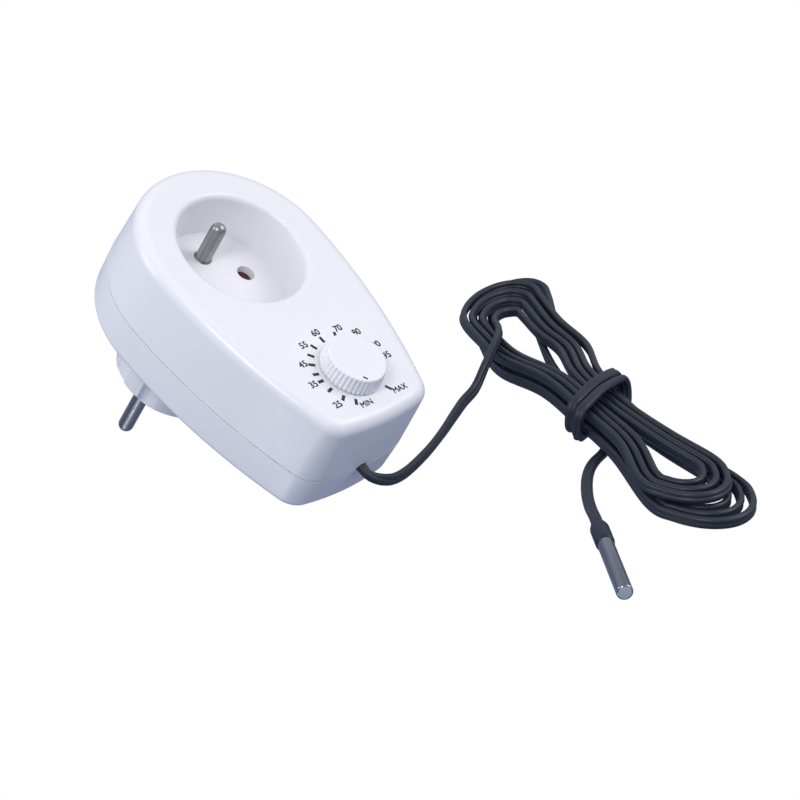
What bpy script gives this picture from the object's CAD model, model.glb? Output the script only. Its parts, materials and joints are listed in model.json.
# %% [markdown]
# # Plug-in pump thermostat
#
# This lesson builds the visual model of a plug-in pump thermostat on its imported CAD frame. It is a white
# moulded case with a socket in front and a plug behind, a ribbed knob on a printed dial, and a probe on
# a long flat cord that is wound into a hank.
#
# The case is drawn in its own frame: u to the right, v towards the socket end and w out of the front
# face, with the zero point in the middle of the socket recess. One matrix then lays it back on its two
# plug pins. The cord is drawn straight in the frame of the whole object, along the same route as in the
# CAD source.

import json
import math

import bmesh
import bpy
from mathutils import Matrix, Vector


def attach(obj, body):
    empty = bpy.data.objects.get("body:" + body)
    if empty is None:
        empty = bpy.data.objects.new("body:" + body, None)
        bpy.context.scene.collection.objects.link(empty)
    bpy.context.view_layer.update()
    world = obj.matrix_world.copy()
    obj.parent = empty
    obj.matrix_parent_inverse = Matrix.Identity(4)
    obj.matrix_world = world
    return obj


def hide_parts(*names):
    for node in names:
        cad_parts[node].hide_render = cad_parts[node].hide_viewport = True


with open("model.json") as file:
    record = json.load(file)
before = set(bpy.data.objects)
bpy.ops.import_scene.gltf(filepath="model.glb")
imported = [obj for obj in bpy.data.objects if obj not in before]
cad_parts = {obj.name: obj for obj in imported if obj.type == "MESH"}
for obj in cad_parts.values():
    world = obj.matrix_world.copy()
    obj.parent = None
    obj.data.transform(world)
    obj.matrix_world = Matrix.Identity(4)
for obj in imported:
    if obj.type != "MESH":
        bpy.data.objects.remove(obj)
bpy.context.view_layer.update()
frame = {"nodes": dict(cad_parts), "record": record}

# %% [markdown]
# ## Sizes that several steps share
#
# Blender works in metres, so each length is written in millimetres and multiplied by `mm`. All of them
# are the same as in the CAD source. A size that only one piece needs stands in the step of that piece.
#
# Two directions are worked out here, because the metal finishes follow them: straight out of the front
# face, which is the way of the pins, and along the probe.

# %%
# Shared sizes, and how the case lies
mm = 0.001
case_reach = 68.5 * mm
parting_depth = 22.5 * mm
draft = 1 * mm
cord_width = 3.6 * mm
cord_thickness = 2.2 * mm
probe_start = Vector((24.5, -108.4, 3)) * mm
probe_tip = Vector((-5.4, -140.6, 2.45)) * mm
probe_way = (probe_tip - probe_start).normalized()

tilt = math.radians(33.92658)
rest_height = 67.20374 * mm
rest_shift = 4.17911 * mm
lay_back = Matrix.Translation((0, rest_shift, rest_height)) @ Matrix.Rotation(tilt, 4, "X")
out_of_face = lay_back.to_3x3() @ Vector((0, 0, 1))
print("case laid back by", round(math.degrees(tilt), 2), "degrees")

# %% [markdown]
# ## Camera
#
# A photograph fixes its camera: the outline of the case, the recess, the knob and the pins can only
# line up from one place. That place and the two directions of the picture, to the right and downwards,
# were solved beforehand, and the third direction is the one square to both.

# %%
# Camera
camera_place = Vector((-0.56086, -0.54544, 0.34582))
camera_right = Vector((0.65379, -0.75660, -0.01117))
camera_down = Vector((-0.29853, -0.24434, -0.92259))


def add_camera():
    data = bpy.data.cameras.new("camera")
    data.lens = 127.6
    data.sensor_width = 36
    data.clip_start = 0.01
    data.clip_end = 10
    camera = bpy.data.objects.new("camera", data)
    forward = camera_right.cross(camera_down)
    turn = Matrix((camera_right, -camera_down, -forward)).transposed()
    camera.matrix_world = Matrix.Translation(camera_place) @ turn.to_4x4()
    bpy.context.scene.collection.objects.link(camera)
    bpy.context.scene.camera = camera
    return camera


camera = add_camera()
print("camera at", [round(x, 3) for x in camera.location], "lens", camera.data.lens)

# %% [markdown]
# ## Light
#
# White plastic shows its form by small changes of tone, so most of the light is soft. The world is a
# gradient, bright above and bluish below. A single white world would flatten the case, so white is
# shown to camera rays only, as the background. Four area lights then give the highlights on the
# rounded edges, on the cord and on the metal.


# %%
# World
sky = ((0, (0.15, 0.19, 0.31)), (0.35, (0.19, 0.235, 0.36)), (0.5, (0.34, 0.38, 0.50)),
    (0.72, (0.50, 0.52, 0.60)), (1, (0.60, 0.61, 0.66)))


def add_world():
    world = bpy.data.worlds.new("studio")
    world.use_nodes = True
    bpy.context.scene.world = world
    nodes = world.node_tree.nodes
    links = world.node_tree.links
    nodes.clear()
    coordinates = nodes.new("ShaderNodeTexCoord")
    parts = nodes.new("ShaderNodeSeparateXYZ")
    share = nodes.new("ShaderNodeMapRange")
    share.inputs["From Min"].default_value = -1
    share.inputs["From Max"].default_value = 1
    ramp = nodes.new("ShaderNodeValToRGB")
    stops = ramp.color_ramp.elements
    stops[0].color = (*sky[0][1], 1)
    stops[1].color = (*sky[-1][1], 1)
    for position, color in sky[1:-1]:
        stops.new(position).color = (*color, 1)
    soft = nodes.new("ShaderNodeBackground")
    white = nodes.new("ShaderNodeBackground")
    white.inputs["Color"].default_value = (1, 1, 1, 1)
    rays = nodes.new("ShaderNodeLightPath")
    mix = nodes.new("ShaderNodeMixShader")
    output = nodes.new("ShaderNodeOutputWorld")
    links.new(coordinates.outputs["Generated"], parts.inputs[0])
    links.new(parts.outputs["Z"], share.inputs["Value"])
    links.new(share.outputs[0], ramp.inputs[0])
    links.new(ramp.outputs["Color"], soft.inputs["Color"])
    links.new(rays.outputs["Is Camera Ray"], mix.inputs["Fac"])
    links.new(soft.outputs[0], mix.inputs[1])
    links.new(white.outputs[0], mix.inputs[2])
    links.new(mix.outputs[0], output.inputs["Surface"])
    return len(stops)


print("stops of the sky:", add_world())


# %%
# Lights
def add_light(name, place, aim, size, power, color=(1, 1, 1)):
    """A rectangular lamp that looks from its place at a point."""
    data = bpy.data.lights.new(name, "AREA")
    data.shape = "RECTANGLE"
    data.size, data.size_y = size
    data.energy = power
    data.color = color
    light = bpy.data.objects.new(name, data)
    way = Vector(aim) - Vector(place)
    turn = way.to_track_quat("-Z", "Y").to_matrix().to_4x4()
    light.matrix_world = Matrix.Translation(place) @ turn
    bpy.context.scene.collection.objects.link(light)


add_light("key light", place=(-0.52, -0.26, 0.50), aim=(0, 0, 0.05), size=(0.22, 0.22), power=1.6,
    color=(0.98, 0.99, 1))
add_light("left light", place=(-0.38, 0.26, 0.30), aim=(0, 0, 0.06), size=(0.20, 0.20), power=0.65,
    color=(0.96, 0.98, 1))
add_light("right light", place=(0.42, -0.50, 0.52), aim=(0, 0, 0.05), size=(0.45, 0.45), power=2.2)
add_light("low strip", place=(-0.50, 0.12, -0.46), aim=(0, 0.02, 0.02), size=(0.10, 0.40), power=0.4,
    color=(0.95, 0.97, 1))
bpy.context.scene.view_settings.view_transform = "Standard"

# %% [markdown]
# ## Finishes
#
# Two effects come back in many materials, so each is a node group, built once. It puts out a roughness,
# a shade and a normal, and the Principled shader stays in the material itself.
#
# The first is the skin of moulded plastic: it is never quite flat, so it has a shallow waviness, a fine
# grain, and spots where hands have rubbed it smoother. The second is drawn or turned metal. Its lines
# come from a noise that is stretched along one axis, which needs no picture and no UV map.


# %%
# Tools for node groups
def group(name, inputs, outputs):
    tree = bpy.data.node_groups.new(name, "ShaderNodeTree")
    for label, kind, value in inputs:
        socket = tree.interface.new_socket(label, in_out="INPUT", socket_type=kind)
        if value is not None:
            socket.default_value = value
    for label, kind in outputs:
        tree.interface.new_socket(label, in_out="OUTPUT", socket_type=kind)
    return tree, tree.nodes.new("NodeGroupInput"), tree.nodes.new("NodeGroupOutput")


def noise(tree, vector, scale, detail, roughness=0.5):
    node = tree.nodes.new("ShaderNodeTexNoise")
    node.inputs["Scale"].default_value = scale
    node.inputs["Detail"].default_value = detail
    node.inputs["Roughness"].default_value = roughness
    tree.links.new(vector, node.inputs["Vector"])
    return node.outputs["Fac"]


def spread(tree, value, between, onto):
    """Maps a value from one range to another."""
    node = tree.nodes.new("ShaderNodeMapRange")
    node.inputs["From Min"].default_value, node.inputs["From Max"].default_value = between
    node.inputs["To Min"].default_value, node.inputs["To Max"].default_value = onto
    tree.links.new(value, node.inputs["Value"])
    return node.outputs["Result"]


def combined(tree, operation, first, second):
    node = tree.nodes.new("ShaderNodeMath")
    node.operation = operation
    tree.links.new(first, node.inputs[0])
    tree.links.new(second, node.inputs[1])
    return node.outputs[0]


def bump(tree, height, strength, distance, normal=None):
    node = tree.nodes.new("ShaderNodeBump")
    node.inputs["Strength"].default_value = strength
    node.inputs["Distance"].default_value = distance
    tree.links.new(height, node.inputs["Height"])
    if normal is not None:
        tree.links.new(normal, node.inputs["Normal"])
    return node.outputs["Normal"]


surface_outputs = [("Roughness", "NodeSocketFloat"), ("Shade", "NodeSocketFloat"),
    ("Normal", "NodeSocketVector")]
print("outputs of a finish:", [name for name, kind in surface_outputs])


# %%
# Skin of moulded plastic
def moulded_skin():
    tree, start, end = group("moulded skin",
        [("Vector", "NodeSocketVector", None), ("Roughness", "NodeSocketFloat", 0.4)], surface_outputs)
    vector = start.outputs["Vector"]
    waves = noise(tree, vector, scale=90, detail=1)
    grain = noise(tree, vector, scale=2600, detail=2)
    rubbed = noise(tree, vector, scale=260, detail=4, roughness=0.6)
    clouds = noise(tree, vector, scale=45, detail=3)
    wavy = bump(tree, waves, strength=0.06, distance=0.0006)
    normal = bump(tree, grain, strength=0.05, distance=0.00006, normal=wavy)
    change = spread(tree, rubbed, between=(0.35, 0.7), onto=(-0.05, 0.06))
    roughness = combined(tree, "ADD", start.outputs["Roughness"], change)
    shade = spread(tree, clouds, between=(0.3, 0.7), onto=(0.985, 1.0))
    tree.links.new(roughness, end.inputs["Roughness"])
    tree.links.new(shade, end.inputs["Shade"])
    tree.links.new(normal, end.inputs["Normal"])
    return tree


skin_group = moulded_skin()
print(skin_group.name, "nodes:", len(skin_group.nodes))


# %%
# Drawn or turned metal
def drawn_metal():
    tree, start, end = group("drawn metal",
        [("Vector", "NodeSocketVector", None), ("Stretch", "NodeSocketVector", (1, 1, 1)),
         ("Roughness", "NodeSocketFloat", 0.25)], surface_outputs)
    stretch = tree.nodes.new("ShaderNodeVectorMath")
    stretch.operation = "MULTIPLY"
    tree.links.new(start.outputs["Vector"], stretch.inputs[0])
    tree.links.new(start.outputs["Stretch"], stretch.inputs[1])
    stretched = stretch.outputs[0]
    lines = noise(tree, stretched, scale=3000, detail=3, roughness=0.7)
    spots = noise(tree, start.outputs["Vector"], scale=420, detail=4, roughness=0.6)
    bands = noise(tree, stretched, scale=420, detail=1, roughness=0.4)
    change = spread(tree, spots, between=(0.3, 0.75), onto=(-0.07, 0.10))
    roughness = combined(tree, "ADD", start.outputs["Roughness"], change)
    spotted = spread(tree, spots, between=(0.3, 0.8), onto=(1.0, 0.88))
    banded = spread(tree, bands, between=(0.36, 0.6), onto=(1.1, 0.55))
    tree.links.new(roughness, end.inputs["Roughness"])
    tree.links.new(combined(tree, "MULTIPLY", spotted, banded), end.inputs["Shade"])
    tree.links.new(bump(tree, lines, strength=0.12, distance=0.00005), end.inputs["Normal"])
    return tree


metal_group = drawn_metal()
print(metal_group.name, "nodes:", len(metal_group.nodes))


# %% [markdown]
# ## Materials
#
# Every material reads Object coordinates. All pieces lie unturned at the origin, so the pins and the
# probe don't run along Z. Their materials first turn the coordinates, with a Mapping node, until the
# metal's axis comes out as Z, and the lines of the finish then run along the piece.
#
# The pieces inside the case keep their CAD meshes and get their materials here. The red shutter shows
# through the contact holes of the socket.


# %%
# Materials made from the finishes
def material(name, color, roughness, metallic=0.0, stretch=None, coat=0.0, axis=None):
    """Drawn metal where a stretch is given, and moulded plastic otherwise."""
    made = bpy.data.materials.new(name)
    made.use_nodes = True
    tree = made.node_tree
    shader = tree.nodes["Principled BSDF"]
    vector = tree.nodes.new("ShaderNodeTexCoord").outputs["Object"]
    if axis:
        turn = tree.nodes.new("ShaderNodeMapping")
        turn.inputs["Rotation"].default_value = axis.rotation_difference(Vector((0, 0, 1))).to_euler()
        tree.links.new(vector, turn.inputs["Vector"])
        vector = turn.outputs["Vector"]
    skin = tree.nodes.new("ShaderNodeGroup")
    skin.node_tree = metal_group if stretch else skin_group
    skin.inputs["Roughness"].default_value = roughness
    if stretch:
        skin.inputs["Stretch"].default_value = stretch
    shade = tree.nodes.new("ShaderNodeMix")
    shade.data_type = "RGBA"
    shade.blend_type = "MULTIPLY"
    shade.inputs["Factor"].default_value = 1
    shade.inputs["A"].default_value = (*color, 1)
    tree.links.new(vector, skin.inputs["Vector"])
    tree.links.new(skin.outputs["Shade"], shade.inputs["B"])
    tree.links.new(shade.outputs["Result"], shader.inputs["Base Color"])
    tree.links.new(skin.outputs["Roughness"], shader.inputs["Roughness"])
    tree.links.new(skin.outputs["Normal"], shader.inputs["Normal"])
    shader.inputs["Metallic"].default_value = metallic
    shader.inputs["Coat Weight"].default_value = coat
    shader.inputs["Coat Roughness"].default_value = 0.15
    return made


plastics = {
    "case_white": dict(color=(0.875, 0.87, 0.885), roughness=0.34, coat=0.12),
    "knob_white": dict(color=(0.885, 0.885, 0.90), roughness=0.36, coat=0.1),
    "shutter_red": dict(color=(0.11, 0.03, 0.028), roughness=0.5),
    "carrier_ivory": dict(color=(0.72, 0.66, 0.50), roughness=0.5),
    "board_green": dict(color=(0.03, 0.16, 0.06), roughness=0.4, coat=0.3),
    "relay_blue": dict(color=(0.04, 0.12, 0.38), roughness=0.4),
    "film_yellow": dict(color=(0.72, 0.48, 0.05), roughness=0.4),
    "can_dark": dict(color=(0.03, 0.035, 0.07), roughness=0.35),
    "black_epoxy": dict(color=(0.02, 0.02, 0.022), roughness=0.5),
    "resistor_tan": dict(color=(0.52, 0.34, 0.18), roughness=0.45),
    "wire_brown": dict(color=(0.12, 0.05, 0.02), roughness=0.5),
    "wire_blue": dict(color=(0.02, 0.08, 0.36), roughness=0.5),
    "cord_navy": dict(color=(0.0115, 0.0165, 0.029), roughness=0.46),
    "clamp_grey": dict(color=(0.16, 0.165, 0.17), roughness=0.5),
    "sleeve_black": dict(color=(0.0065, 0.012, 0.026), roughness=0.46),
    "turned_end": dict(color=(0.50, 0.54, 0.60), roughness=0.5, metallic=0.3),
    "print_black": dict(color=(0.012, 0.012, 0.016), roughness=0.5),
}
metals = {
    "nickel": dict(color=(0.50, 0.50, 0.50), roughness=0.38, stretch=(1, 1, 0.02), axis=out_of_face),
    "brass": dict(color=(0.70, 0.50, 0.20), roughness=0.3, stretch=(1, 1, 0.05)),
    "tinned_steel": dict(color=(0.60, 0.60, 0.61), roughness=0.35, stretch=(1, 0.05, 0.05)),
    "screw_steel": dict(color=(0.52, 0.53, 0.55), roughness=0.3, stretch=(0.2, 0.2, 1)),
    "shaft_steel": dict(color=(0.48, 0.49, 0.51), roughness=0.3, stretch=(1, 1, 0.1)),
    "probe_steel": dict(color=(0.42, 0.45, 0.50), roughness=0.26, stretch=(1, 1, 0.02), axis=probe_way),
}
looks = {name: material(name, **values) for name, values in plastics.items()}
looks.update({name: material(name, metallic=1.0, **values) for name, values in metals.items()})
print("materials:", len(looks))

# %%
# Materials of the CAD nodes
for part in frame["record"]["subparts"]:
    node = frame["nodes"][part["node"]]
    if not node.material_slots:
        node.data.materials.append(looks[part["material_slot"]])
    for material_slot in node.material_slots:
        material_slot.material = looks[part["material_slot"]]


# %% [markdown]
# ## Building helpers
#
# Most of the pieces are walls round a middle, so they are built as a stack of closed loops: each loop
# has its own size and depth, `skin` joins it to the next, and `fill` closes a flat face between an
# outline and its holes. Bridging has to guess which points of two loops belong together. Here they are
# known, since all loops of a stack have the same points in the same order, so `skin` joins them so. A
# round piece is half a profile, spun about w by `turned`.
#
# `keep` turns a finished bmesh into an object in the frame of the whole thing, and gives it its
# material, its body and the CAD nodes that it stands for. Double points are merged first, and then the
# normals are made to point outwards.


# %%
# Keeping a finished piece
def keep(bm, name, look, body="case", stands_for=(), matrix=lay_back, sharp=35):
    bmesh.ops.remove_doubles(bm, verts=bm.verts, dist=1e-7)
    bmesh.ops.recalc_face_normals(bm, faces=bm.faces)
    bmesh.ops.transform(bm, matrix=matrix, verts=bm.verts)
    mesh = bpy.data.meshes.new(name)
    bm.to_mesh(mesh)
    bm.free()
    mesh.materials.append(looks[look])
    for face in mesh.polygons:
        face.use_smooth = True
    mesh.set_sharp_from_angle(angle=math.radians(sharp))
    piece = bpy.data.objects.new(name, mesh)
    bpy.context.scene.collection.objects.link(piece)
    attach(piece, body)
    if stands_for:
        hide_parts(*stands_for)
    print(name, "faces:", len(mesh.polygons))
    return piece


# %%
# Loops, and what is made between them
def loop(bm, points):
    """A closed loop of vertices, joined by edges."""
    verts = [bm.verts.new(p) for p in points]
    for i, vert in enumerate(verts):
        bm.edges.new((vert, verts[(i + 1) % len(verts)]))
    return verts


def edges_of(bm, one):
    return [bm.edges.get((vert, one[(i + 1) % len(one)])) for i, vert in enumerate(one)]


def skin(bm, loops):
    """Quads from each loop to the next one, which has as many points in the same order."""
    for first, second in zip(loops, loops[1:]):
        count = len(first)
        for i in range(count):
            j = (i + 1) % count
            bm.faces.new((first[i], first[j], second[j], second[i]))


def fill(bm, *loops):
    """Fills a flat face between an outer loop and its holes."""
    edges = [e for one in loops for e in edges_of(bm, one)]
    bmesh.ops.triangle_fill(bm, use_beauty=True, use_dissolve=False, edges=edges)


def circle(radius, w, centre, steps):
    points = []
    for i in range(steps):
        a = 2 * math.pi * i / steps
        points.append((centre[0] + radius * math.cos(a), centre[1] + radius * math.sin(a), w))
    return points


def stack(bm, rings, centre=(0, 0), steps=96):
    """A round wall from rings given as radius and w."""
    loops = [loop(bm, circle(radius, w, centre, steps)) for radius, w in rings]
    skin(bm, loops)
    return loops


print("a ring of a large wall has", len(circle(1, 0, (0, 0), 96)), "points")


# %%
# Rounded edges and turned pieces
def rounding(steps):
    """Angles of a quarter circle."""
    return [math.pi / 2 * i / steps for i in range(steps + 1)]


def turned(profile, steps):
    """A bmesh of revolution about w, from points of radius and w."""
    bm = bmesh.new()
    verts = [bm.verts.new((r, 0, w)) for r, w in profile]
    edges = [bm.edges.new(pair) for pair in zip(verts, verts[1:])]
    bmesh.ops.spin(bm, geom=verts + edges, cent=(0, 0, 0), axis=(0, 0, 1), angle=2 * math.pi,
        steps=steps, use_merge=True)
    bmesh.ops.remove_doubles(bm, verts=bm.verts, dist=1e-7)
    return bm


print("a quarter circle in 4 steps, in degrees:", [round(math.degrees(a), 1) for a in rounding(4)])

# %% [markdown]
# ## Route of the hank
#
# The cord is one flat twin flex, wound by hand into six loops in two layers. Such a hank could be a few
# separate rings, but then no end would lead to the next one. Here it is one line instead, as on the
# real object: `turn` counts the loops, and from it follow how far out the loop lies, in which layer,
# and how its two folds fan out. The numbers are those of the CAD source.
#
# A loop has four quarters: back along one side, round the near fold, out along the other side, and
# round the far fold. `run` is measured along the hank and `across` at right angles to it.

# %%
# Sizes of the hank
hank_place = Vector((83.6, -65.6, 0)) * mm
hank_heading = math.radians(61)
far_bow = 13.4 * mm
near_bow = 4.2 * mm
far_bow_power = 2.8
near_bow_power = 1.3
far_run = 106 * mm
near_run = 55 * mm
loops_per_layer = 3
fold_inner = 6 * mm
fold_step = 3 * mm
fold_stretch = 1.45
far_slant = 0.33
near_slant = 0.15
waist_inner = 0.35 * mm
waist_step = 2.72 * mm
waist_hold = 20 * mm
spread_run = 46 * mm
far_push = Vector((-13, -4.8)) * mm
near_push = Vector((6, -1)) * mm
far_fan = 3 * mm
near_fan = 0.4 * mm
turn_share = 0.25
climb_bulge = 0.28
climb_start = 0.3
climb_end = 0.9
push_hold = 49 * mm
lower_level = cord_width / 2
layer_step = cord_width + 0.57 * mm
waist_lift = cord_thickness + 0.45 * mm
lift_hold = 24 * mm
rings_per_loop = 24
hank_along = Vector((math.cos(hank_heading), math.sin(hank_heading), 0))
hank_across = Vector((math.sin(hank_heading), -math.cos(hank_heading), 0))
print("length of the hank:", round(far_run + near_run, 3))


# %%
# Where a loop lies, by its turn and by the run along the hank
def clamp(value, low=0.0, high=1.0):
    return min(max(value, low), high)


def ease(share):
    """A share from 0 to 1 that starts and ends softly."""
    share = clamp(share)
    return share * share * (3 - 2 * share)


def climb_share(turn):
    """How much of the climb from one layer to the other is done."""
    return clamp((turn - loops_per_layer) / turn_share)


def loop_index(turn):
    """The place of a loop, counted from the middle: outwards in one layer and back in the other."""
    bulge = climb_bulge * math.sin(math.pi * climb_share(turn))
    return min(turn, 2 * (loops_per_layer + turn_share) - turn) + bulge


def upper_share(turn):
    return 1 - ease((climb_share(turn) - climb_start) / (climb_end - climb_start))


def waist_share(run):
    """0 where the tie holds the loops together, and 1 where they lie spread."""
    return ease((abs(run) - waist_hold) / (spread_run - waist_hold))


def push_share(run):
    end = near_run if run < 0 else far_run
    return ease((abs(run) - push_hold) / (end - push_hold))


def lift(run):
    """The cord dips under the waist, so the loops lie higher there."""
    end = near_run if run < 0 else push_hold
    return waist_lift * (1 - clamp((abs(run) - lift_hold) / (end - lift_hold)))


def bow(run):
    """The hank is a little bent to one side at both ends."""
    if run > 0:
        return far_bow * (run / far_run) ** far_bow_power
    return near_bow * (-run / near_run) ** near_bow_power


print("lift at the waist:", round(lift(0), 5), "bow at the far end:", round(bow(far_run), 4))


# %%
# The line of the hank
def across_at(index, run):
    share = waist_share(run)
    return (waist_inner + waist_step * index) * (1 - share) + (fold_inner + fold_step * index) * share


def hank_flat(turn):
    """Run and across of a turn, seen from above, before the hank is bowed and pushed."""
    index = loop_index(turn)
    quarter = 4 * (turn - math.floor(turn))
    fold_radius = fold_inner + fold_step * index
    if quarter < 1:
        run = far_run - (far_run + near_run) * quarter
        return run, across_at(index, run)
    if quarter < 2:
        a = math.pi * (quarter - 1)
        return -near_run - fold_stretch * fold_radius * math.sin(a), fold_radius * math.cos(a)
    if quarter < 3:
        run = -near_run + (far_run + near_run) * (quarter - 2)
        return run, -across_at(index, run)
    a = math.pi * (quarter - 3)
    return far_run + fold_stretch * fold_radius * math.sin(a), -fold_radius * math.cos(a)


def hank_spot(run, across, level):
    return (hank_place + Vector((0, 0, level + lift(run))) + hank_along * run
        + hank_across * (across + bow(run)))


def hank_point(turn):
    """The upper layer is pushed aside at the folds, and each loop fans out from the one under it."""
    run, across = hank_flat(turn)
    share = push_share(run)
    upper = upper_share(turn)
    push = (far_push if run > 0 else near_push) * upper * share
    fan = (-far_fan if run > 0 else near_fan) * share * (loops_per_layer - loop_index(turn))
    slant = (far_slant if run > 0 else near_slant) * share * across
    return hank_spot(run + push[0] + fan + slant, across + push[1], lower_level + layer_step * upper)


first_ring = -rings_per_loop // 4
last_ring = 2 * loops_per_layer * rings_per_loop
hank_points = [hank_point(i / rings_per_loop) for i in range(first_ring, last_ring + 1)]
print("rings of the hank:", len(hank_points))

# %% [markdown]
# ## Route of the lead, the dip, the tie and the tail
#
# The lead leaves the case in the parting plane, lies down on the surface and climbs on to the hank.
# After the last loop the cord dips under the waist, winds twice round it as a tie, and runs out as a
# tail to the probe. A flat cord also has a wide side, so each station of the route holds a point and
# the way of that side: level on the surface, upright in the hank, and along the hank in the tie.

# %%
# Points of the lead, the dip and the tail
exit_v = -69.5 * mm


def spot(v):
    """A point in the middle of the parting plane, laid back with the case."""
    return lay_back @ Vector((0, v, -parting_depth))


def in_mm(points):
    return [Vector(p) * mm for p in points]


lead_points = [spot(-55.55 * mm), spot(-62 * mm), spot(exit_v)] + in_mm((
    (0.4, -42.7, 7.8), (2.4, -43.8, 6.1), (6.6, -44, 4.1), (12, -43.4, 2.5), (20, -41.7, 1.85),
    (34, -37.2, 1.85), (48, -31.4, 1.85), (60, -25.8, 1.85), (70, -21.4, 2.1), (79, -18.9, 3.4),
    (87, -16.3, 7.6), (94.7, -12.8, 10.3), (102.8, -8.9, 10.3), (109.6, -4.8, 10.3), (116.2, 0, 9.2)))
lead_upright = [0, 0, 0, 0.2, 0.5, 0.85] + [1] * 13
dip_spots = [(84, 6.2, 1.8), (68, 4.9, 1.8), (52, 3.2, 1.8), (40, 2.3, 1.8), (31, 1.8, 1.7),
    (23, 1.6, 1.45), (15.6, 1.3, 1.2), (10, -0.4, 1.1), (6, -3.7, 1.1)]
dip_upright = [1, 1, 1, 1, 1, 0.75, 0.3, 0, 0, 0]
tail_points = in_mm((
    (86.5, -66.6, 1.13), (80, -71, 1.13), (74, -75.2, 1.13), (68, -77.8, 1.13), (62, -79.4, 1.13),
    (56, -81.9, 1.13), (49, -86.2, 1.13), (41, -92.4, 1.13), (34, -98.8, 1.55)))


def dip_point(run, across, level):
    run, across, level = run * mm, across * mm, level * mm
    return hank_spot(run, across, level - lift(run))


print("points of the lead, dip and tail:", len(lead_points), len(dip_spots), len(tail_points))

# %%
# Points of the tie
tie_turns = 2
tie_heading = math.radians(12)
tie_pitch = 5.5 * mm
tie_start = 9.3 * mm
tie_half_width = 16.2 * mm
tie_round = 4.4 * mm
tie_centre = 1 * mm
tie_bulge = 1.1 * mm
tie_low = cord_thickness / 2 + 0.01 * mm
tie_high = 2 * waist_lift + lower_level + layer_step + cord_width / 2 - cord_thickness / 2
tie_rings = 16
tie_across = Vector((math.cos(tie_heading), math.sin(tie_heading), 0))
tie_along = Vector((-math.sin(tie_heading), math.cos(tie_heading), 0))


def tie_point(i):
    """A point of a winding: a rectangle with rounded corners, four points to a corner."""
    corner = (i // 4) % 4
    a = math.radians(-90 - 30 * (i % 4) - 90 * corner)
    side = -1 if corner < 2 else 1
    across = tie_centre + side * (tie_half_width - tie_round) + tie_round * math.cos(a)
    middle = tie_low + tie_round if corner in (0, 3) else tie_high - tie_round
    level = middle + tie_round * math.sin(a)
    run = tie_start - tie_pitch * i / tie_rings
    return Vector((hank_place.x, hank_place.y, level)) + hank_along * run + tie_across * across


tie_points = []
for i in range(tie_rings * tie_turns):
    tie_points.append(tie_point(i))
    if i % tie_rings == tie_rings / 2 - 1:
        top = (tie_point(i) + tie_point(i + 1)) / 2
        tie_points.append(top + Vector((0, 0, tie_bulge)))
print("points of the tie:", len(tie_points))


# %%
# Stations of the whole cord
def standing(way, share):
    """The way of the cord's wide side: level across the cord at 0, straight up at 1."""
    level = Vector((-way.y, way.x, 0)).normalized()
    return level * math.cos(math.pi / 2 * share) + Vector((0, 0, 1)) * math.sin(math.pi / 2 * share)


stations = []
lead = lead_points + [hank_points[0]]
for i, p in enumerate(lead[:-1]):
    stations.append((p, standing(lead[i + 1] - lead[max(i - 1, 0)], lead_upright[i])))
stations += [(p, Vector((0, 0, 1))) for p in hank_points]
dip = [hank_points[-1]] + [dip_point(*s) for s in dip_spots] + [tie_points[0]]
for i, p in enumerate(dip[1:-1], 1):
    stations.append((p, standing(dip[i + 1] - dip[i - 1], dip_upright[i])))
stations += [(p, -tie_along) for p in tie_points]
tail = [tie_points[-1]] + tail_points + [probe_start - probe_way * cord_width, probe_start]
for i, p in enumerate(tail[1:], 1):
    stations.append((p, standing(tail[min(i + 1, len(tail) - 1)] - tail[i - 1], 0)))

# The lead would meet the hank in a hook, so the stations round that place are drawn smooth.
joint_start = len(lead_points) - 4
joint_stations = 9
joint_passes = 3
joint_pull = 0.4
for _ in range(joint_passes):
    for i in range(joint_start, joint_start + joint_stations):
        middle = (stations[i - 1][0] + stations[i + 1][0]) / 2
        stations[i] = (stations[i][0].lerp(middle, joint_pull), stations[i][1])
print("stations of the cord:", len(stations))

# %% [markdown]
# ## Cord
#
# The flex has two round cores side by side, with a shallow groove between them. A curve with a bevel
# would be quick, but its section turns as it likes at a bend, and a flat cord shows that at once. So
# the section is swept as a mesh, with its wide side given at each ring. A slow sway about the cord's
# own line makes it lie limp. It fades out at both ends, where the case and the sleeve hold the cord.


# %%
# A smooth, swaying route
def bend(a, b, c, d, t):
    """A smooth curve from b to c that also heeds the points before and after."""
    return 0.5 * ((2 * b) + (c - a) * t + (2 * a - 5 * b + 4 * c - d) * t * t
        + (3 * b - a - 3 * c + d) * t ** 3)


def fine_route(stations, gap):
    """Points and wide ways at about even distances on a smooth curve through the stations."""
    places = [s[0] for s in stations]
    ways = [s[1] for s in stations]
    last = len(stations) - 1
    made = []
    for i in range(last):
        steps = max(2, round((places[i + 1] - places[i]).length / gap))
        near = [max(i - 1, 0), i, i + 1, min(i + 2, last)]
        for k in range(steps):
            t = k / steps
            made.append((bend(*[places[n] for n in near], t), ways[i].lerp(ways[i + 1], t)))
    made.append((places[last], ways[last]))
    return made


def along_at(route, i):
    return (route[min(i + 1, len(route) - 1)][0] - route[max(i - 1, 0)][0]).normalized()


sway_angle = math.radians(11)
sway_waves = ((1, 23 * mm, 0), (0.7, 9.1 * mm, 1), (0.5, 41 * mm, 2))
sway_fade_in = 60 * mm
sway_fade_out = 30 * mm


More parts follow.
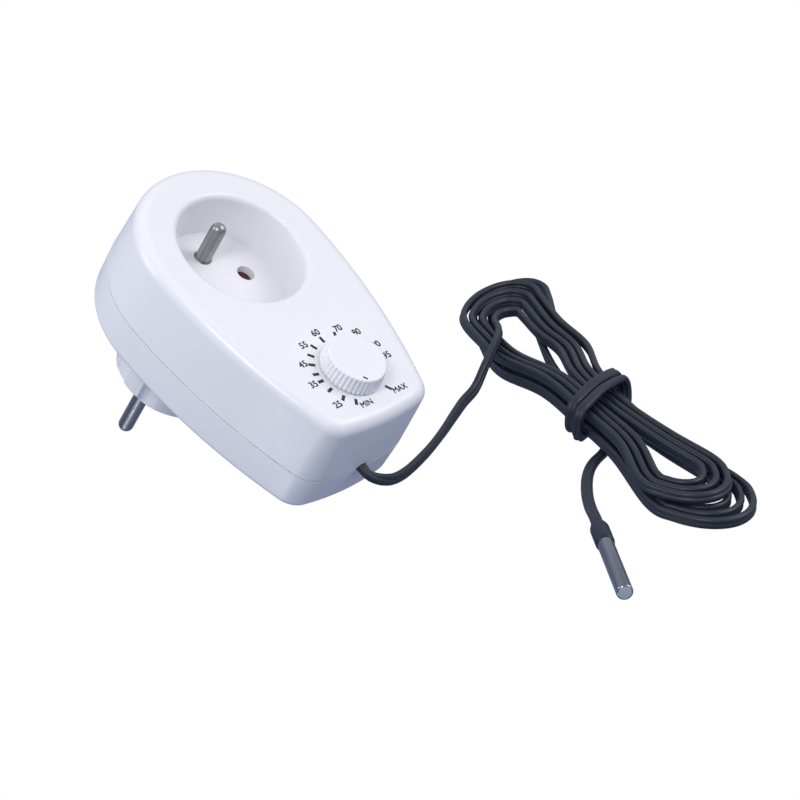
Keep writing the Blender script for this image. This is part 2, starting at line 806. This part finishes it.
def twisted(route, whole):
    """Turns the wide way a little to and fro about the cord, as a limp flat cord lies."""
    made = []
    run = 0
    for i, (at, wide) in enumerate(route):
        run += (at - route[max(i - 1, 0)][0]).length
        reach = clamp(run / sway_fade_in) * clamp((whole - run) / sway_fade_out)
        sway = sum(share * math.sin(run / length + start) for share, length, start in sway_waves)
        turn = Matrix.Rotation(sway_angle * sway * reach, 3, along_at(route, i))
        made.append((at, turn @ wide))
    return made


ring_gap = 1.6 * mm
route = fine_route(stations, ring_gap)
cord_whole = sum((b[0] - a[0]).length for a, b in zip(route, route[1:]))
route = twisted(route, cord_whole)
print("cord rings:", len(route), "length:", round(cord_whole, 3))


# %%
# The flex itself
def twin_section(width, thickness, groove, steps=9):
    """Outline of two round cores side by side with a shallow groove between them."""
    radius = thickness / 2
    core = width / 2 - radius
    core_reach = math.radians(112)
    side = []
    for i in range(steps + 1):
        a = core_reach * (1 - 2 * i / steps)
        side.append((core + radius * math.cos(a), radius * math.sin(a)))
    top = [(0, radius - groove)]
    return top + side + [(0, groove - radius)] + [(-x, y) for x, y in reversed(side)]


def sweep(route, section):
    bm = bmesh.new()
    rings = []
    for i, (at, wide) in enumerate(route):
        along = along_at(route, i)
        wide = (wide - along * wide.dot(along)).normalized()
        thin = along.cross(wide)
        rings.append([bm.verts.new(at + wide * x + thin * y) for x, y in section])
    count = len(section)
    for a, b in zip(rings, rings[1:]):
        for j in range(count):
            bm.faces.new((a[j], a[(j + 1) % count], b[(j + 1) % count], b[j]))
    bm.faces.new(rings[0])
    bm.faces.new(rings[-1])
    return bm


cord_groove = 0.22 * mm
flex = keep(sweep(route, twin_section(cord_width, cord_thickness, cord_groove)), "flat_twin_cord",
    "cord_navy", stands_for=("lead_cord", "cord_hank", "cord_tie", "tail_cord"), matrix=Matrix(),
    sharp=50)

# %% [markdown]
# ## Probe
#
# A temperature probe is a bead in a short steel tube, filled and closed. A sleeve is shrunk over the
# joint of cord and tube, so it is narrow over the cord and swells over the tube. Both are round, so
# each is one profile spun round its axis and then turned into its place on the surface. The flat end
# of the tube catches the light in another way than its drawn side, and has a material of its own.

# %%
# Shrunk sleeve
sleeve_radius = 2.8 * mm
sleeve_length = 14 * mm
sleeve_neck = 1.9 * mm
sleeve_neck_run = 0.6 * mm
sleeve_swell_run = 4.4 * mm
sleeve_bore = 2.42 * mm
sleeve_bore_start = 3 * mm


def along_probe():
    turn = Vector((0, 0, 1)).rotation_difference(probe_way).to_matrix().to_4x4()
    return Matrix.Translation(probe_start) @ turn


def sleeve_profile():
    """A sleeve drawn in over the cord at its start and shrunk on to the tube at its end."""
    points = [(0, 0), (1.3 * mm, 0), (1.75 * mm, 0.25 * mm)]
    for share in [i / 10 for i in range(1, 11)]:
        radius = sleeve_neck + (sleeve_radius - sleeve_neck) * ease(share)
        points.append((radius, sleeve_neck_run + sleeve_swell_run * share))
    points += [(sleeve_radius, 9 * mm), (sleeve_radius * 0.995, 13.2 * mm),
        (sleeve_radius * 0.97, 13.75 * mm), (2.5 * mm, sleeve_length),
        (sleeve_bore, sleeve_length - 0.1 * mm), (sleeve_bore, sleeve_bore_start),
        (0, sleeve_bore_start)]
    return points


sleeve = keep(turned(sleeve_profile(), 40), "shrunk_sleeve", "sleeve_black",
    stands_for=("probe_sleeve",), matrix=along_probe())

# %%
# Steel tube
probe_radius = 2.4 * mm
probe_whole = (probe_tip - probe_start).length
tube_start = 3.1 * mm
tube_band = 2 * mm
tube_bands = 18
tip_round = 0.9 * mm
tip_crown = 0.05 * mm
end_facing = 0.95

tube_profile = [(0, tube_start), (probe_radius - 0.4 * mm, tube_start), (probe_radius, tube_start)]
tube_profile += [(probe_radius, tube_start + tube_band * i) for i in range(1, tube_bands + 1)]
for a in rounding(8):
    tube_profile.append((probe_radius - tip_round * (1 - math.cos(a)),
        probe_whole - tip_round * (1 - math.sin(a))))
tube_profile.append((0, probe_whole + tip_crown))
tube = keep(turned(tube_profile, 48), "steel_probe", "probe_steel", stands_for=("probe_tube",),
    matrix=along_probe())
tube.data.materials.append(looks["turned_end"])
for side in tube.data.polygons:
    if side.normal.dot(probe_way) > end_facing:
        side.material_index = 1
print("probe length:", round(probe_whole, 4))

# %% [markdown]
# The flex, the sleeve and the tube are one soft piece for the library: the cord can be laid out anew,
# and the other two follow its far end. So its exit, its length and its line are declared here.

# %% [markdown]
# ## Outline of the case
#
# Seen from the front, the case is a round head that narrows to a slightly curved end. Straight lines
# with rounded corners would show a kink where they meet. Four arcs, each tangent to the next, make it
# flow as on the real moulding: head, long side, corner and end. The other half is their mirror image.
#
# `outline` gives that line grown or shrunk by some width, at its own depth. A shell is a stack of
# them. Flat faces get a narrow ring inside their edge, so that the shading of the rounded edge doesn't
# run out over the flat.

# %%
# Sizes of the shell
top_radius = 33 * mm
corner_radius = 7.5 * mm
corner_spread = 15 * mm
side_radius = 180 * mm
end_radius = 105 * mm
case_depth = 35.5 * mm
wall = 2.2 * mm
front_round = 4 * mm
back_round = 2.4 * mm
back_draft = 0.2 * mm
seam_bevel = 0.06 * mm
seam_gap = 0.2 * mm

end_centre = end_radius - case_reach
corner_v = end_centre - math.sqrt((end_radius - corner_radius) ** 2 - corner_spread ** 2)
corner_distance = math.hypot(corner_spread, corner_v)
side_to_top = side_radius - top_radius
side_to_corner = side_radius - corner_radius
side_along = (side_to_top ** 2 - side_to_corner ** 2 + corner_distance ** 2) / (2 * corner_distance)
side_across = math.sqrt(side_to_top ** 2 - side_along ** 2)
corner_way = (corner_spread / corner_distance, corner_v / corner_distance)
side_centre = (corner_way[0] * side_along + corner_way[1] * side_across,
    corner_way[1] * side_along - corner_way[0] * side_across)
top_end = math.atan2(-side_centre[1], -side_centre[0])
corner_start = math.atan2(corner_v - side_centre[1], corner_spread - side_centre[0])
corner_end = math.atan2(corner_v - end_centre, corner_spread)
print("centre of the corner at v", round(corner_v, 4))


# %%
# The outline
def arc(centre, radius, start, end, steps):
    points = []
    for i in range(1, steps + 1):
        a = start + (end - start) * i / steps
        points.append((centre[0] + radius * math.cos(a), centre[1] + radius * math.sin(a)))
    return points


def outline(grow, w):
    half = [(0, top_radius + grow)]
    half += arc((0, 0), top_radius + grow, math.pi / 2, top_end, 44)
    half += arc(side_centre, side_radius + grow, top_end, corner_start, 16)
    half += arc((corner_spread, corner_v), corner_radius + grow, corner_start, corner_end, 16)
    half += arc((0, end_centre), end_radius + grow, corner_end, -math.pi / 2, 8)
    return [(u, v, w) for u, v in half] + [(-u, v, w) for u, v in reversed(half[1:-1])]


print("outline points:", len(outline(0, 0)))


# %% [markdown]
# ## Cuts
#
# The slot for the cord crosses the parting line, and the flats of the plug cross its rounded end. Such
# shapes are simple to cut and hard to build up, so a cutter mesh does them, with a Boolean modifier
# that is applied at once. The result is a plain bmesh again.


# %%
# Cutting with another mesh
def boxes(parts):
    """A bmesh of boxes, each given by its lowest and highest corner."""
    bm = bmesh.new()
    for low, high in parts:
        made = bmesh.ops.create_cube(bm, size=1)
        size = Vector(high) - Vector(low)
        middle = (Vector(high) + Vector(low)) / 2
        bmesh.ops.scale(bm, vec=size, verts=made["verts"])
        bmesh.ops.translate(bm, vec=middle, verts=made["verts"])
    return bm


def combine(bm, cutter, operation):
    """The bmesh joined with or cut by another one, as a new bmesh."""
    objects = []
    for part in (bm, cutter):
        bmesh.ops.recalc_face_normals(part, faces=part.faces)
        mesh = bpy.data.meshes.new("part")
        part.to_mesh(mesh)
        part.free()
        objects.append(bpy.data.objects.new("part", mesh))
        bpy.context.scene.collection.objects.link(objects[-1])
    modifier = objects[0].modifiers.new("combine", "BOOLEAN")
    modifier.operation = operation
    modifier.object = objects[1]
    modifier.solver = "EXACT"
    made = bmesh.new()
    made.from_mesh(objects[0].evaluated_get(bpy.context.evaluated_depsgraph_get()).to_mesh())
    for one in objects:
        bpy.data.objects.remove(one, do_unlink=True)
    return made


slot_clearance = 0.2 * mm
slot_margin = 1 * mm
slot_length = 10 * mm
slot_steps = 32


def slot_cutter():
    """The round-ended slot that the cord leaves through."""
    half = cord_thickness / 2 + slot_clearance
    middle = cord_width / 2 - cord_thickness / 2
    points = []
    for i in range(slot_steps):
        a = 2 * math.pi * i / slot_steps
        u = math.copysign(middle, math.cos(a)) if abs(math.cos(a)) > 1e-9 else 0
        points.append((u + half * math.cos(a), half * math.sin(a)))
    bm = bmesh.new()
    start = -case_reach - draft - slot_margin
    loops = [loop(bm, [(u, v, w - parting_depth) for u, w in points]) for v in (start, start + slot_length)]
    skin(bm, loops)
    for one in loops:
        bmesh.ops.holes_fill(bm, edges=edges_of(bm, one))
    return bm


print("slot for the cord:", round(cord_width + 2 * slot_clearance, 5), "wide")

# %% [markdown]
# ## Front cover
#
# The front cover is a shell with a soft edge and a round recess for the plug of a pump. The recess is a
# cup moulded in one with the shell, with a flared mouth, and its floor is a piece of its own. The
# cover's wall is followed by one stack of outlines, from the flat front over the edge, down the side
# and back up on the inside, and the cup by one stack of circles in the same way.

# %%
# Front cover with the recess
recess_radius = 19.4 * mm
recess_flare = 0.9 * mm
mouth_round = 1.8 * mm
recess_depth = 15 * mm
floor_thickness = 2.8 * mm
cup_wall = 1.9 * mm
cup_rim = 0.6 * mm
floor_margin = 1 * mm
knob_offset = 50 * mm
shaft_hole_radius = 3.3 * mm
soft_side = 6 * mm

mouth_radius = recess_radius + recess_flare
cup_outer = mouth_radius + cup_wall
insert_radius = recess_radius + floor_margin
insert_back = recess_depth + floor_thickness
cup_depth = insert_back + cup_rim
inner_grow = draft - wall
inner_round = front_round - wall


def build_front():
    bm = bmesh.new()
    flat = 0.5 * mm
    edge = [(-front_round - flat, 0)]
    edge += [(-front_round * (1 - math.sin(a)), -front_round * (1 - math.cos(a))) for a in rounding(12)]
    rim = seam_gap - parting_depth
    edge += [(draft * 0.35, -front_round - soft_side), (draft, seam_bevel + rim),
        (draft - seam_bevel, rim), (inner_grow, rim), (-wall, -wall - inner_round),
        (-wall - inner_round, -wall)]
    shell = [loop(bm, outline(grow, w)) for grow, w in edge]
    skin(bm, shell)
    mouth = [(mouth_radius + mouth_round + flat, 0)]
    for a in rounding(12):
        mouth.append((mouth_radius + mouth_round * (1 - math.sin(a)), -mouth_round * (1 - math.cos(a))))
    mouth += [(recess_radius, -recess_depth), (insert_radius, -recess_depth),
        (insert_radius, -cup_depth), (cup_outer, -cup_depth), (cup_outer, -wall)]
    recess = stack(bm, mouth)
    shaft = stack(bm, [(shaft_hole_radius, 0), (shaft_hole_radius, -wall)], (0, -knob_offset), 40)
    fill(bm, shell[0], recess[0], shaft[0])
    fill(bm, shell[-1], recess[-1], shaft[-1])
    return combine(bm, slot_cutter(), "DIFFERENCE")


keep(build_front(), "front_shell", "case_white", stands_for=("front_cover",))

# %% [markdown]
# ## Rear cover
#
# The rear cover carries the plug: a round boss with a deep chamfer at its end, two flats at its sides
# with a key left in the middle of each, and a seat above and below for the earth clips. The boss is
# turned from one profile, and the flats and seats are cut afterwards. Behind each flat the wall is
# first backed, or the cut would break through it. Four pockets lead to the case screws.

# %%
# Sizes of the plug and of the screw posts
boss_radius = 18.2 * mm
boss_chamfer = 4 * mm
boss_wall = 2.4 * mm
boss_foot = 0.4 * mm
boss_soft = 0.35 * mm
plug_depth = 61.5 * mm
face_wall = 3.2 * mm
flat_seat = 15.8 * mm
flat_wall = 1.6 * mm
flat_foot = 0.5 * mm
backing_half = 7 * mm
key_width = 6.4 * mm
clip_width = 7.4 * mm
clip_seat = 17 * mm
clip_top = 43.8 * mm
beyond = 20 * mm
contact_u = 9.5 * mm
earth_offset = 10 * mm
pin_root = 2.7 * mm
earth_mouth_radius = 3 * mm
lead_in = 0.2 * mm
pin_clearance = 0.02 * mm

pocket_radius = 3 * mm
pocket_floor = 31 * mm
screw_hole_radius = 1.6 * mm
post_radius = 4.1 * mm
post_front = 22.8 * mm
post_ring = top_radius - wall - 4.2 * mm
upper_post_angle = math.radians(35)
upper_post = (post_ring * math.cos(upper_post_angle), post_ring * math.sin(upper_post_angle))
lower_post = (corner_spread + 1 * mm, corner_v + 1.5 * mm)
case_posts = [upper_post, (-upper_post[0], upper_post[1]), lower_post, (-lower_post[0], lower_post[1])]
print("posts of the case:", [(round(u, 4), round(v, 4)) for u, v in case_posts])


# %%
# Rear cover with the plug
def boss_profile(flat):
    """Radius and w from the back of the case, over the chamfer, to the face of the plug."""
    points = [(boss_radius + boss_foot + flat, -case_depth)]
    for a in rounding(4):
        points.append((boss_radius + boss_foot * (1 - math.sin(a)),
            -case_depth - boss_foot * (1 - math.cos(a))))
    corner = boss_radius - boss_chamfer
    points += [(boss_radius, -clip_top), (boss_radius, boss_chamfer + boss_soft - plug_depth),
        (boss_radius - 0.3 * boss_soft, boss_chamfer - 0.3 * boss_soft - plug_depth),
        (boss_radius - boss_soft, boss_chamfer - boss_soft - plug_depth),
        (corner + boss_soft, boss_soft - plug_depth),
        (corner + 0.2 * boss_soft, 0.25 * boss_soft - plug_depth),
        (corner - 0.5 * boss_soft, -plug_depth), (corner - flat, -plug_depth)]
    return points


def plug_cuts():
    """The boxes that back the flats, and those that cut the flats and the clip seats."""
    low = -plug_depth - 1 * mm
    backing = []
    cuts = []
    for side in (-1, 1):
        u = sorted((side * (flat_seat - flat_wall), side * (flat_seat + 0.3 * mm)))
        backing.append(((u[0], -backing_half, -plug_depth + face_wall - 0.5 * mm),
            (u[1], backing_half, 1 * mm - case_depth)))
        for end in (-1, 1):
            u = sorted((side * flat_seat, side * beyond))
            v = sorted((end * key_width / 2, end * beyond))
            cuts.append(((u[0], v[0], low), (u[1], v[1], -case_depth - flat_foot)))
        v = sorted((side * clip_seat, side * beyond))
        cuts.append(((-clip_width / 2, v[0], low), (clip_width / 2, v[1], -clip_top)))
    return backing, cuts


def build_rear():
    bm = bmesh.new()
    flat = 0.4 * mm
    grow_back = draft - back_draft
    plate_inside = case_depth - wall
    rim = -parting_depth - seam_gap
    edge = [(grow_back - wall, -plate_inside), (inner_grow, rim), (draft - seam_bevel, rim),
        (draft, rim - seam_bevel)]
    for a in rounding(9):
        edge.append((grow_back - back_round * (1 - math.cos(a)),
            -case_depth + back_round * (1 - math.sin(a))))
    edge.append((grow_back - back_round - flat, -case_depth))
    shell = [loop(bm, outline(grow, w)) for grow, w in edge]
    skin(bm, shell)
    outside = stack(bm, boss_profile(flat))
    face_inside = plug_depth - face_wall
    inside = stack(bm, [(boss_radius - boss_wall, -plate_inside), (boss_radius - boss_wall, -face_inside)])
    holes = []
    for centre, radius in (((contact_u, 0), pin_root), ((-contact_u, 0), pin_root),
            ((0, earth_offset), earth_mouth_radius)):
        holes.append(stack(bm, [(radius + lead_in, -plug_depth),
            (radius + pin_clearance, -plug_depth + lead_in), (radius + pin_clearance, -face_inside)],
            centre, 40))
    fill(bm, outside[-1], *[h[0] for h in holes])
    fill(bm, inside[-1], *[h[-1] for h in holes])
    pockets = []
    for centre in case_posts:
        pockets.append(stack(bm, [(pocket_radius + lead_in, -case_depth),
            (pocket_radius, -case_depth + lead_in), (pocket_radius, -pocket_floor),
            (screw_hole_radius, -pocket_floor), (screw_hole_radius, -post_front),
            (post_radius, -post_front), (post_radius, -plate_inside)], centre, 32))
    fill(bm, shell[-1], outside[0], *[p[0] for p in pockets])
    fill(bm, shell[0], inside[0], *[p[-1] for p in pockets])
    backing, cuts = plug_cuts()
    bm = combine(bm, boxes(backing), "UNION")
    bm = combine(bm, boxes(cuts), "DIFFERENCE")
    return combine(bm, slot_cutter(), "DIFFERENCE")


keep(build_rear(), "rear_shell", "case_white", stands_for=("rear_cover",))

# %% [markdown]
# ## Recess floor
#
# The floor of the recess is an insert that is dropped into the cup from behind. Its joint shows as a
# fine line round the floor, so it is a disc of its own, a hair smaller than its seat. The mouths of
# the holes are rounded, because a plug's pins have to find their way in.

# %%
# Recess floor with its holes
contact_hole_radius = 2.75 * mm
seat_clearance = 0.05 * mm


def build_insert():
    bm = bmesh.new()
    soft = 0.3 * mm
    rim_radius = insert_radius - seat_clearance
    rim = stack(bm, [(rim_radius, -recess_depth), (rim_radius, -insert_back)])
    holes = []
    for centre, radius in (((contact_u, 0), contact_hole_radius), ((-contact_u, 0), contact_hole_radius),
            ((0, earth_offset), pin_root + seat_clearance)):
        rings = [(radius + 2 * soft, -recess_depth)]
        for a in rounding(5):
            rings.append((radius + soft * (1 - math.sin(a)), -recess_depth - soft * (1 - math.cos(a))))
        rings.append((radius, -insert_back))
        holes.append(stack(bm, rings, centre, 40))
    fill(bm, rim[0], *[h[0] for h in holes])
    fill(bm, rim[1], *[h[-1] for h in holes])
    return bm


keep(build_insert(), "recess_floor", "case_white", stands_for=("socket_insert",))

# %% [markdown]
# ## Contact pins
#
# All three pins are turned and nickel-plated, with a domed tip that centres itself in its hole and a
# thicker root that holds it in the plastic. They differ only in place and length, and the earth pin
# points forwards, so one profile serves for all. The shank has rings along it for an even shading.

# %%
# Contact pins
pin_radius = 2.4 * mm
plug_pin_length = 19 * mm
earth_pin_reach = 14.4 * mm
root_bevel = 0.15 * mm
shank_rings = 8


def pin_profile(root, face, tip):
    """Radius and w of a pin from its root to its domed tip, with a thicker root up to the face."""
    way = 1 if tip > root else -1
    points = [(0, root), (pin_root, root), (pin_root, face - way * root_bevel),
        (pin_root - root_bevel, face), (pin_radius, face)]
    shank = tip - way * pin_radius
    points += [(pin_radius, face + (shank - face) * i / shank_rings) for i in range(1, shank_rings)]
    points += [(pin_radius * math.cos(a), shank + way * pin_radius * math.sin(a)) for a in rounding(10)]
    return points


def build_pin(u, v, root, face, tip):
    bm = turned(pin_profile(root, face, tip), 48)
    bmesh.ops.translate(bm, vec=(u, v, 0), verts=bm.verts)
    return bm


earth_pin = build_pin(0, earth_offset, -insert_back, -recess_depth, earth_pin_reach - recess_depth)
keep(earth_pin, "recess_earth_pin", "nickel", stands_for=("socket_earth_pin",))
for side, name in ((1, "live"), (-1, "neutral")):
    pin = build_pin(side * contact_u, 0, -plug_depth + face_wall, -plug_depth, -plug_depth - plug_pin_length)
    keep(pin, "plug_pin_" + name, "nickel", stands_for=(name + "_pin",))

# %% [markdown]
# ## Knob
#
# The knob is turned with two fingers, so its wall has 42 rounded ribs. They could be an array of small
# cylinders, but then their ends would have to be trimmed under the rounded top. Here the ribs are a
# wave in each loop of the wall, which grows out of the foot and dies away into the top edge.

# %%
# Knob
knob_radius = 10 * mm
knob_top_radius = 9.4 * mm
knob_height = 5.8 * mm
knob_gap = 0.5 * mm
rib_count = 42
rib_depth = 0.45 * mm
rib_wall = 4.2 * mm
top_edge = 0.9 * mm
foot_bevel = 0.1 * mm
skirt_radius = 8.1 * mm
hub_radius = 4.4 * mm
bore_radius = 3.05 * mm
hollow_top = 4.4 * mm


def ribbed(radius, depth, w, steps_per_rib=12):
    """A loop of the knob's wall, with a rounded rib at each wave."""
    count = rib_count * steps_per_rib
    points = []
    for i in range(count):
        a = 2 * math.pi * i / count
        wave = abs(math.cos(rib_count * a / 2)) ** 0.8
        r = radius - depth * (1 - wave)
        points.append((r * math.cos(a), r * math.sin(a) - knob_offset, w))
    return points


def build_knob():
    bm = bmesh.new()
    rings = [(knob_radius - foot_bevel, 0.8, knob_gap)]
    for share in (0.05, 0.3, 0.6, 0.85, 1):
        radius = knob_radius + (knob_top_radius - knob_radius) * share
        rings.append((radius, 1, knob_gap + foot_bevel + rib_wall * share))
    for a in rounding(7)[1:]:
        rings.append((knob_top_radius - top_edge * (1 - math.cos(a)), 1 - math.sin(a) ** 0.7,
            knob_height - top_edge * (1 - math.sin(a))))
    rings.append((knob_top_radius - top_edge - 0.4 * mm, 0, knob_height))
    loops = [loop(bm, ribbed(r, rib_depth * share, w)) for r, share, w in rings]
    skin(bm, loops)
    fill(bm, loops[-1])
    foot = loop(bm, ribbed(skirt_radius + 0.05 * mm, 0, knob_gap))
    skin(bm, [loops[0], foot])
    under = stack(bm, [(skirt_radius, knob_gap), (skirt_radius, hollow_top), (hub_radius, hollow_top),
        (hub_radius, knob_gap), (bore_radius, knob_gap), (bore_radius, hollow_top)],
        (0, -knob_offset), 48)
    fill(bm, foot, under[0])
    fill(bm, under[-1])
    return bm


keep(build_knob(), "ribbed_knob", "knob_white", "knob", stands_for=("knob",), sharp=40)

# %% [markdown]
# ## Dial
#
# The dial is printed straight on the case: a tick for each temperature, a number beside most of them,
# and MIN and MAX at the ends. A print has next to no thickness, so it could be a pattern in the
# material. It is thin geometry instead, because letters then stay sharp at any distance and are
# exported with the mesh. The knob carries a small mark of the same kind.


# %%
# Tools for printed marks
def bar(bm, centre, size, angle, low, high):
    """A thin printed bar with its long side at an angle to u."""
    made = bmesh.ops.create_cube(bm, size=1)
    verts = made["verts"]
    bmesh.ops.scale(bm, vec=(size[0], size[1], high - low), verts=verts)
    turn = Matrix.Rotation(math.radians(angle), 3, "Z")
    bmesh.ops.rotate(bm, cent=(0, 0, 0), matrix=turn, verts=verts)
    bmesh.ops.translate(bm, vec=(centre[0], centre[1], (low + high) / 2), verts=verts)


letter_scale = 1.42
letter_depth = 0.012 * mm
letter_level = 0.022 * mm
copy_step = 0.0004 * mm
bold_share = 0.03


def label(bm, text, centre, height):
    """Adds a printed word, centred on a point of the front face. Four shifted copies make it bolder."""
    curve = bpy.data.curves.new(text, "FONT")
    curve.body = text
    curve.align_x = "CENTER"
    curve.align_y = "CENTER"
    curve.size = height * letter_scale
    curve.extrude = letter_depth
    curve.resolution_u = 6
    word = bpy.data.objects.new(text, curve)
    bpy.context.scene.collection.objects.link(word)
    mesh = bpy.data.meshes.new_from_object(word)
    shift = height * bold_share
    mesh.transform(Matrix.Translation((centre[0], centre[1], letter_level)))
    for i, (du, dv) in enumerate(((shift, shift), (0, -2 * shift), (-2 * shift, 0), (0, 2 * shift))):
        mesh.transform(Matrix.Translation((du, dv, copy_step * i)))
        bm.from_mesh(mesh)
    bpy.data.objects.remove(word, do_unlink=True)


# %%
# Printed dial, with ticks by their angle in degrees and words by their middle in millimetres
tick_ring = 12.3 * mm
tick_size = (2.2 * mm, 1.0 * mm)
tick_pushed_out = {"70": 13.0 * mm}
print_low = 0.01 * mm
print_high = 0.03 * mm
number_height = 2.15 * mm
word_height = 1.9 * mm
marks = {"MIN": -124.6, "25": -143.3, "30": -164, "35": 179, "40": 166.5, "45": 150, "50": 133.5,
    "55": 115, "60": 93, "70": 68, "80": 45, "90": 20, "95": -3, "MAX": -55.6}
labels = {"60": (-0.8, -34.9), "70": (7.5, -36.3), "55": (-7.9, -37.1), "45": (-13.2, -42.7),
    "35": (-15.4, -49.8), "25": (-13.3, -58.6), "MIN": (-4.1, -61.9), "MAX": (10.4, -61.85),
    "80": (12.4, -39.8), "90": (15.2, -46.0), "95": (15.6, -50.5)}


def build_dial():
    bm = bmesh.new()
    for name, angle in marks.items():
        a = math.radians(angle)
        ring = tick_pushed_out.get(name, tick_ring)
        middle = (ring * math.cos(a), ring * math.sin(a) - knob_offset)
        bar(bm, middle, tick_size, angle, -print_low, print_high)
    for text, (u, v) in labels.items():
        label(bm, text, (u * mm, v * mm), number_height if text.isdigit() else word_height)
    return bm


keep(build_dial(), "dial_print", "print_black")

# %%
# Mark on the knob
pointer_place = (-3.6 * mm, -57.1 * mm)
pointer_size = (1.5 * mm, 0.6 * mm)
pointer_angle = -55

pointer = bmesh.new()
bar(pointer, pointer_place, pointer_size, pointer_angle, knob_height - print_low, knob_height + print_high)
keep(pointer, "knob_pointer", "print_black", "knob")
